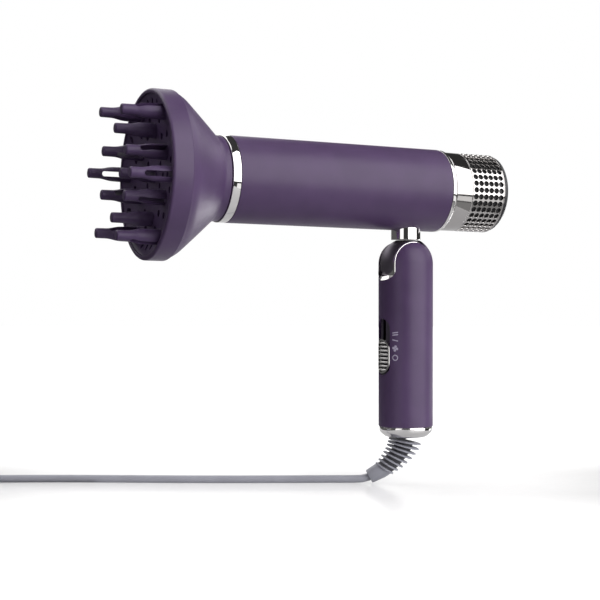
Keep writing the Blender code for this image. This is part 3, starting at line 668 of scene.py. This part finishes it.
def make_barrel():
    wall = 1.8
    outline = rounded([
        (BARREL_FRONT, BARREL_R - wall), (BARREL_FRONT, BARREL_R, 0.35), (BARREL_REAR, BARREL_R, 0.35),
        (BARREL_REAR, BARREL_R - wall),
    ])
    piece("barrel", lathe(outline, 160), PURPLE, "head", HEAD, ("barrel_shell",))
    bore = SPIGOT_R + 0.3
    ring = rounded([
        (NOSE_FRONT, bore), (NOSE_FRONT, NOSE_R, 0.6), (NOSE_REAR, NOSE_R, 0.2), (NOSE_REAR, bore),
    ])
    piece("nose_band", lathe(ring, 160), CHROME, "head", HEAD, ("nose_ring",))
    inside = SPIGOT_R - 1.6
    spigot = rounded([
        (SPIGOT_FRONT, inside), (SPIGOT_FRONT, SPIGOT_R, 0.5), (BARREL_FRONT + 0.3, SPIGOT_R),
        (BARREL_FRONT + 0.3, SPIGOT_WIDE_R), (SPIGOT_REAR, SPIGOT_WIDE_R), (SPIGOT_REAR, inside),
    ])
    piece("spigot", lathe(spigot, 128), BLACK, "head", HEAD, ("nozzle_spigot",))
    front, rear = tube_span("outlet_grille")[:2]
    hoops = [tube(20.6, 18.6, front, rear), tube(10.6, 9.2, front, rear), rod(4.6, front, rear, sides=48)]
    spokes = [moved(box((front + 0.2, -0.7, 4), (rear - 0.2, 0.7, 19)), turn=60 * k) for k in range(6)]
    piece("outlet_guard", joined(*hoops, *spokes), BLACK, "head", HEAD, ("outlet_grille",))


def make_rear():
    """The ring at the barrel's rear, the perforated cap, the cloth inside it, and the dark end."""
    neck = 23.9
    ring = rounded([
        (TRIM_FRONT, 23.1), (TRIM_FRONT, 24.5), (BARREL_REAR + 0.3, 24.5),
        (BARREL_REAR + 0.3, TRIM_R, 0.2), (BARREL_REAR + 2.9, TRIM_R, 0.9), (BARREL_REAR + 2.9, neck),
        (TRIM_REAR, neck), (TRIM_REAR, 23.1),
    ])
    piece("rear_band", lathe(ring, 160), CHROME, "head", HEAD, ("rear_trim_ring",))
    piece("perforated_cap", perforated_cap(), NICKEL, "filter", HEAD, ("filter_cap",), smooth=40)
    cloth = tube(SCREEN_R, SCREEN_R - 0.5, SCREEN_FRONT, SCREEN_REAR)
    piece("filter_cloth", cloth, SCREEN, "filter", HEAD, ("filter_screen",))
    rim = rounded([
        (GRILLE_FRONT, 21.4), (GRILLE_FRONT, CAP_R - 1.5), (CAP_REAR + 0.3, CAP_R - 1.5),
        (CAP_REAR + 0.3, 24.7, 0.4), (GRILLE_REAR - 1.2, 24.4, 0.8), (GRILLE_REAR, 22.8, 0.6),
        (GRILLE_REAR, 21.4),
    ])
    deep, shallow = GRILLE_REAR - 2.9, GRILLE_REAR - 0.9
    parts = [lathe(rim, 128), rod(4.2, deep, shallow, sides=48, edge=0.6)]
    for radius in (9.0, 13.2, 17.4):
        parts.append(tube(radius + 0.6, radius - 0.6, deep + 0.2, shallow - 0.2, sides=96))
    for k in range(24):
        parts.append(moved(box((deep, -0.45, 3.6), (shallow, 0.45, 21.8)), turn=15 * k))
    piece("rear_guard", joined(*parts), BLACK, "filter", HEAD, ("rear_grille",))


def perforated_cap():
    """A bright sleeve with six rows of round holes, each with a countersunk edge."""
    around, rows, pitch = 37, 6, 3.72
    wall, hole, rim = 1.1, 1.73, 1.84
    first = CAP_FRONT + 12.4
    inner = CAP_R - wall
    shape = bmesh.new()

    def at(along, turn, radius):
        angle = math.tau * turn / around
        return shape.verts.new((along, radius * math.cos(angle), radius * math.sin(angle)))

    arc_pitch = math.tau * CAP_R / around
    square = []
    for k in range(16):
        a, b = math.cos(math.tau * k / 16), math.sin(math.tau * k / 16)
        square.append([round(2 * v / max(abs(a), abs(b))) / 2 for v in (a, b)])
    # Each hole's radius at a depth under the surface, from its countersunk edge to the cap's inside.
    steps = ((rim, 0.0), (rim - 0.04, 0.06), (hole + 0.03, 0.22), (hole, 0.28), (hole, wall))
    for row in range(rows):
        for turn in range(around):
            middle = first + pitch * (row + 0.5)
            levels = [[at(middle + a * pitch / 2, turn + 0.5 + b / 2, CAP_R) for a, b in square]]
            for radius, depth in steps:
                ring = []
                for k in range(16):
                    angle = math.tau * k / 16
                    a, b = radius * math.cos(angle), radius * math.sin(angle)
                    ring.append(at(middle + a, turn + 0.5 + b / arc_pitch, CAP_R - depth))
                levels.append(ring)
            levels.append([at(middle + a * pitch / 2, turn + 0.5 + b / 2, inner) for a, b in square])
            skin(shape, levels, ends=False)
    last = first + pitch * rows
    front = rounded([
        (first, CAP_R), (CAP_FRONT + 11.9, CAP_R, 0.2), (CAP_FRONT + 11.65, CAP_R - 0.25, 0.15),
        (CAP_FRONT + 11.4, CAP_R, 0.2), (CAP_FRONT, CAP_R, 0.5), (CAP_FRONT, inner), (first, inner),
    ])
    rear = rounded([
        (last, inner), (CAP_REAR, inner), (CAP_REAR, CAP_R, 0.5), (last + 0.5, CAP_R, 0.3),
        (last + 0.3, CAP_R - 0.2, 0.1), (last + 0.1, CAP_R), (last, CAP_R),
    ])
    for strip in (front, rear):
        rings = [[at(along, k / 4, radius) for k in range(around * 4)] for along, radius in strip]
        skin(shape, rings, ends=False)
    bmesh.ops.remove_doubles(shape, verts=shape.verts, dist=1e-3)
    return shape


def knuckle_ball(radius, half, sides=96, ease=0.0):
    """A ball round the hinge with flat sides, whose rims are eased off."""
    edge = math.sqrt(radius**2 - half**2) - ease
    lift = math.degrees(math.asin(half / radius))
    dome = arc((0, 0), radius, 90 + lift, 90 - lift, 24)
    outline = [(-half, 0), (-half, edge), *dome[1:-1], (half, edge), (half, 0)]
    return moved(lathe(outline, sides, "Y"), (0, 0, HINGE_Z))


def make_neck():
    stem = rod(NECK_R, NECK_LOW, -24.6, "Z", 96, 0.3)
    piece("neck", stem, CHROME, "head", stands_for=("neck_stem",))
    ball = knuckle_ball(KNUCKLE_R, KNUCKLE_HALF, 128, 0.8)
    knuckle = boolean(ball, box((-30, -30, NECK_LOW - 0.3), (30, 30, 0)))
    piece("knuckle", knuckle, DARK_CHROME, "head", stands_for=("hinge_knuckle",))


# ---------------------------------------------------------------- diffuser


def make_diffuser():
    band = 12.5  # the rim's width along the axis
    collar = 26.0
    bore = 23.1
    outline = rounded([
        (COLLAR_REAR, bore), (COLLAR_REAR, collar, 0.5), (COLLAR_REAR - 4.2, collar, 2.5),
        (-143.0, 33.9, 6.0), (-152.0, 42.0, 6.0), (-159.0, 48.2, 3.0),
        (RIM_FRONT + band - 0.3, RIM_R - 0.5, 0.3), (RIM_FRONT + band, RIM_R, 0.7),
        (RIM_FRONT, RIM_R, 1.8), (RIM_FRONT, PLATE_R + 0.15, 0.7), (RIM_FRONT + 7.0, PLATE_R + 0.15),
        (-160.5, 46.0, 3.0), (-152.0, 39.6, 3.0), (-140.0, 28.4), (-139.6, bore),
    ], 6)
    piece("bowl", lathe(outline, 192), PURPLE, "diffuser", HEAD, ("diffuser_bowl",))
    ring_low, ring_high = span("diffuser_grip_ring", HEAD)
    middle = (ring_low.x + ring_high.x) / 2
    hoops = []
    for shift in (-1.2, 0.0, 1.2):
        hoops.append(lathe(arc((middle + shift, ring_high.z - 0.75), 0.7, 0, 345, 12), 96))
    piece("grip_ring", joined(*hoops), RUBBER, "grip", HEAD, ("diffuser_grip_ring",))
    make_plate()


def plate_depth(radius):
    """Where the plate's front face is at a radius: dished, and flush with the rim at its edge."""
    out = radius / PLATE_R
    return -170.2 - 2.2 * out**2 - 2.4 * out**8


# The prongs' rings: how many, the ring's radius, the first one's angle in degrees, and the tips' place.
PRONG_RINGS = ((6, 41.8, 4, -198.7), (6, 26.2, 34, -195.7), (1, 0.0, 4, -191.4))


def make_plate():
    wall = 1.7
    radii = [PLATE_R * k / 16 for k in range(17)]
    front = [(plate_depth(r), r) for r in radii]
    plate = lathe(front + [(x + wall, r) for x, r in reversed(front)], 144)
    plate = boolean(plate, joined(*plate_holes(wall)))
    shapes = [plate]
    for count, ring_r, first, tip in PRONG_RINGS:
        for k in range(count):
            base = plate_depth(ring_r)
            shapes.append(moved(prong(tip - base), (base, ring_r, 0), first + 360 * k / count))
    # The plate's slightly darker purple is painted shade.
    piece("prong_plate", joined(*shapes), PURPLE_PAINTED_SHADE, "diffuser", HEAD, ("diffuser_plate",))


def prong(reach):
    """A slotted finger that points to -X from inside the plate; reach is negative."""
    outline = rounded([
        (1.0, 0), (1.0, 4.9), (-0.9, 4.7, 0.4), (reach + 13.5, 4.4, 2.5), (reach + 8.6, 3.15, 2.5),
        (reach, 3.05, 0.9), (reach, 0),
    ], 5)
    half = 1.6
    end = [(-half * math.cos(t), -half * math.sin(t)) for t in (math.pi * k / 8 for k in range(9))]
    slot = prism([(y, reach + 8.0 + half + z) for y, z in end] + [(half, -0.6), (-half, -0.6)], -7, 7)
    # The slot's outline is drawn upright. This lays its long way along the finger.
    bmesh.ops.rotate(slot, verts=slot.verts, matrix=Matrix(((0, 0, 1), (1, 0, 0), (0, 1, 0))))
    return boolean(lathe(outline, 36), slot)


def plate_holes(wall):
    """Round holes between the fingers, and slanted vents round the edge in threes."""
    holes = []
    rings = ((12, 33.4, 19, 2.1), (6, 26.0, 4, 2.1), (6, 17.0, 4, 1.8), (6, 13.0, 34, 1.8))
    for count, radius, first, hole_r in rings:
        for k in range(count):
            hole = rod(hole_r, -3, wall + 3, sides=24)
            holes.append(moved(hole, (plate_depth(radius), radius, 0), first + 360 * k / count))
    vents_r = 43.2
    for k in range(6):
        for side in (-11, 0, 11):
            vent = moved(box((-3, -2.1, -1.1), (wall + 3, 2.1, 1.1)), turn=35)
            holes.append(moved(vent, (plate_depth(vents_r), vents_r, 0), 34 + 60 * k + side))
    return holes


# ---------------------------------------------------------------- handle


def slot_opening(half, low, rear):
    """The knuckle's way out of the handle: open at the top, and down the front to a rounded end."""
    side = 5.4
    turns = [math.pi + math.pi * k / 20 for k in range(21)]
    ends = [(half * math.cos(t), low + side * (1 + math.sin(t))) for t in turns]
    return prism([(-half, HINGE_Z + 30), *ends, (half, HINGE_Z + 30)], -30, rear)


def window(middle, long, half, end=6.0):
    """An upright round-ended prism through the handle's front."""
    straight = long / 2 - end
    turns = [math.pi * k / 16 for k in range(17)]
    top = [(half * math.cos(t), middle + straight + end * math.sin(t)) for t in turns]
    bottom = [(-half * math.cos(t), middle - straight - end * math.sin(t)) for t in turns]
    return prism(top + bottom, -25, -8)


SWITCH_Z = -101.2
SWITCH_LONG, SWITCH_HALF = 36.4, 7.8


def make_handle():
    dome = arc((HINGE_Z, 0), HANDLE_R, 0, 90, 24)
    rows = [(HINGE_Z - 8 * k, HANDLE_R) for k in range(1, 13)]
    inside = HANDLE_R - 1.4
    room = KNUCKLE_R + 0.35
    outline = [
        *dome, *rows, (HANDLE_END + 0.4, HANDLE_R), (HANDLE_END, HANDLE_R - 0.4), (HANDLE_END, inside),
        (HINGE_Z - 18, inside), (HINGE_Z - 18, 0),
    ]
    shell = lathe(outline, 144, "Z")
    shell = boolean(shell, knuckle_ball(room, 11.1))
    shell = boolean(shell, slot_opening(11.1, -58.8, 8.6))
    shell = boolean(shell, window(SWITCH_Z, SWITCH_LONG, SWITCH_HALF))
    piece("handle", shell, PURPLE, "handle", stands_for=("handle_shell",))
    proud = HANDLE_R + 0.15
    trim = lathe([*arc((HINGE_Z, 0), proud, 0, 90, 24), (-70, proud), (-70, 0)], 144, "Z")
    trim = boolean(trim, slot_opening(10.95, -58.65, 2.2), "INTERSECT")
    trim = boolean(trim, slot_opening(10.1, -56.2, 6.0))
    trim = boolean(trim, knuckle_ball(room, 12.0))
    slope = [(-58.7, proud), (-58.7, HANDLE_R + 2), (-55.5, HANDLE_R + 2), (-55.5, HANDLE_R - 1.5)]
    sill = boolean(lathe(slope, 144, "Z"), box((-30, -9.9, -60), (0, 9.9, -50)), "INTERSECT")
    trim = boolean(trim, sill)
    piece("slot_trim", trim, CHROME, "handle", stands_for=("hinge_trim",))
    end = rounded([
        (-146, HANDLE_R - 1.7), (HANDLE_END - 0.3, HANDLE_R - 1.7), (HANDLE_END - 0.3, 17.0, 0.2),
        (-155.8, 16.9, 1.2), (CAP_END, 12.9, 1.6), (CAP_END, 8.0, 0.3), (-157.6, 8.0), (-157.0, 14.4),
        (-146, 14.4),
    ])
    piece("end_ring", lathe(end, 144, "Z"), CHROME, "handle", stands_for=("end_cap",))


def make_switch():
    tray_low, tray_high = 14.7, 15.8
    tray = tube(tray_high, tray_low, SWITCH_Z - 21, SWITCH_Z + 20, "Z", 144)
    tray = boolean(tray, box((-20, -10.6, -130), (-5, 10.6, -70)), "INTERSECT")
    tray = boolean(tray, window(SWITCH_Z + 2, 32.4, 2.4, end=2.4))
    piece("tray", tray, TRAY, "handle", stands_for=("switch_tray",))
    middle = (SLIDER_LOW.z + SLIDER_HIGH.z) / 2
    long = SLIDER_HIGH.z - SLIDER_LOW.z
    half = SLIDER_HIGH.y
    top = HANDLE_R + 0.2
    low = tray_high + 0.3
    blank = tube(top, low, middle - 14, middle + 14, "Z", 144)
    knob = boolean(blank, window(middle, long, half), "INTERSECT")
    knob = boolean(knob, window(middle, long - 1.9, half - 0.95))
    crest = top - 0.1
    hoops = []
    for k in range(8):
        z = middle + (k - 3.5) * 2.45
        outline = rounded([(z - 0.5, low), (z - 0.5, crest, 0.45), (z + 0.5, crest, 0.45), (z + 0.5, low)])
        hoops.append(lathe(outline, 144, "Z"))
    ribs = boolean(joined(*hoops), window(middle, long - 1.7, half - 0.85), "INTERSECT")
    bed = tube(low + 0.5, low, middle - 14, middle + 14, "Z", 144)
    bed = boolean(bed, window(middle, long - 1.7, half - 0.85), "INTERSECT")
    foot = box((-low, -1.6, middle - 4), (-12.6, 1.6, middle + 4))
    piece("knob", joined(knob, ribs), CHROME, "switch", stands_for=("switch_slider",))
    piece("knob_bed", joined(bed, foot), BLACK, "switch")
    make_marks()


def make_marks():
    """Printed switch marks beside the window: a ring for off, a small fan, and one and two strokes."""
    outer, inner = HANDLE_R + 0.05, HANDLE_R - 0.4
    turn = math.degrees(11.9 / HANDLE_R)
    outlines = []
    for z, slope in ((-96.8, 0.2), (-93.3, -0.12), (-91.9, -0.12)):
        lean = slope * 1.9
        left, right = z - lean, z + lean
        outlines.append([(-1.9, left - 0.34), (1.9, right - 0.34), (1.9, right + 0.34), (-1.9, left + 0.34)])
    for k in range(4):
        angle = math.radians(90 * k + 20)
        cos, sin = math.cos(angle), math.sin(angle)
        petal = [(0.1, -0.1), (0.6, -1.0), (1.75, -0.95), (2.1, 0.1), (1.5, 0.7)]
        outlines.append([(y * cos - z * sin, -101.9 + y * sin + z * cos) for y, z in petal])
    tools = [prism(outline, -22, -12) for outline in outlines]
    ring = moved(tube(1.95, 1.35, -22, -12, sides=40), (0, 0, -107.8))
    marks = boolean(tube(outer, inner, -112, -88, "Z", 144), joined(*tools, ring), "INTERSECT")
    piece("switch_marks", moved(marks, turn=turn, axis="Z"), MARKING, "handle")


# The strain relief's fins, from the top down: distance along AWAY, height, radius, and slant in degrees.
RELIEF_FINS = (
    (0.6, -162.3, 10.6, 11), (1.5, -164.9, 10.5, 15), (2.8, -167.5, 9.9, 19), (4.5, -170.1, 9.3, 22),
    (6.6, -172.6, 8.7, 26), (8.8, -175.1, 8.0, 29), (11.2, -177.4, 7.3, 31), (13.6, -179.6, 6.6, 32),
)


def make_relief():
    """A plug in the end ring, a finned bend with painted shade in its gaps, and a plain sleeve that the cord
    leaves by.
    """
    down = Vector((0, 0, -1))
    collar = ((-153.0, 9.6), (-156.6, 9.6), (-156.7, 7.6), (-159.6, 7.6))
    sections = [(laid(0, 0, z), down, r) for z, r in collar]
    sections.append((laid(0.1, 0, -159.9), down, 5.7))
    profile = (
        (-0.68, 0.0), (-0.6, 0.12), (-0.52, 0.9), (-0.28, 1.0), (0.28, 1.0), (0.52, 0.9), (0.6, 0.12),
        (0.68, 0.0),
    )
    for i, (away, height, radius, slant) in enumerate(RELIEF_FINS):
        turn = math.radians(slant)
        along = math.sin(turn) * AWAY + math.cos(turn) * down
        core = 5.7 - 0.05 * i
        for shift, out in profile:
            sections.append((laid(away, 0, height) + shift * along, along, core + (radius - core) * out))
    tail = (laid(23.2, 0, -185.0) - laid(15.9, 0, -180.9)).normalized()
    sleeve = ((15.9, -180.9, 5.3), (23.1, -184.95, 4.62), (23.4, -185.15, 4.4), (23.5, -185.2, 4.0))
    for away, height, r in sleeve:
        sections.append((laid(away, 0, height), tail, r))
    relief = piece("relief", loft(sections), RUBBER, "handle", stands_for=("strain_relief",))
    # The second material paints shade into the gaps between the fins.
    relief.data.materials.append(RUBBER_PAINTED_SHADE)
    # The gaps between the fins get the darker rubber, which is painted shade: the loft's bands of faces run in
    # order, and the fins' start after four.
    each = len(profile)
    for face in relief.data.polygons:
        band = face.index // 48 - 4
        if 0 <= band < each * len(RELIEF_FINS) - 1 and band % each in (0, 1, each - 1):
            face.material_index = 1


def finish_inner_nodes():
    """Gives every CAD node that still shows its slot's finish."""
    for name, node in NODES.items():
        node.data.materials.clear()
        node.data.materials.append(BY_SLOT[SLOT_OF[name]])


make_camera()
make_studio()
make_floor()
make_cord()
make_barrel()
make_rear()
make_neck()
make_diffuser()
make_handle()
make_switch()
make_relief()
finish_inner_nodes()
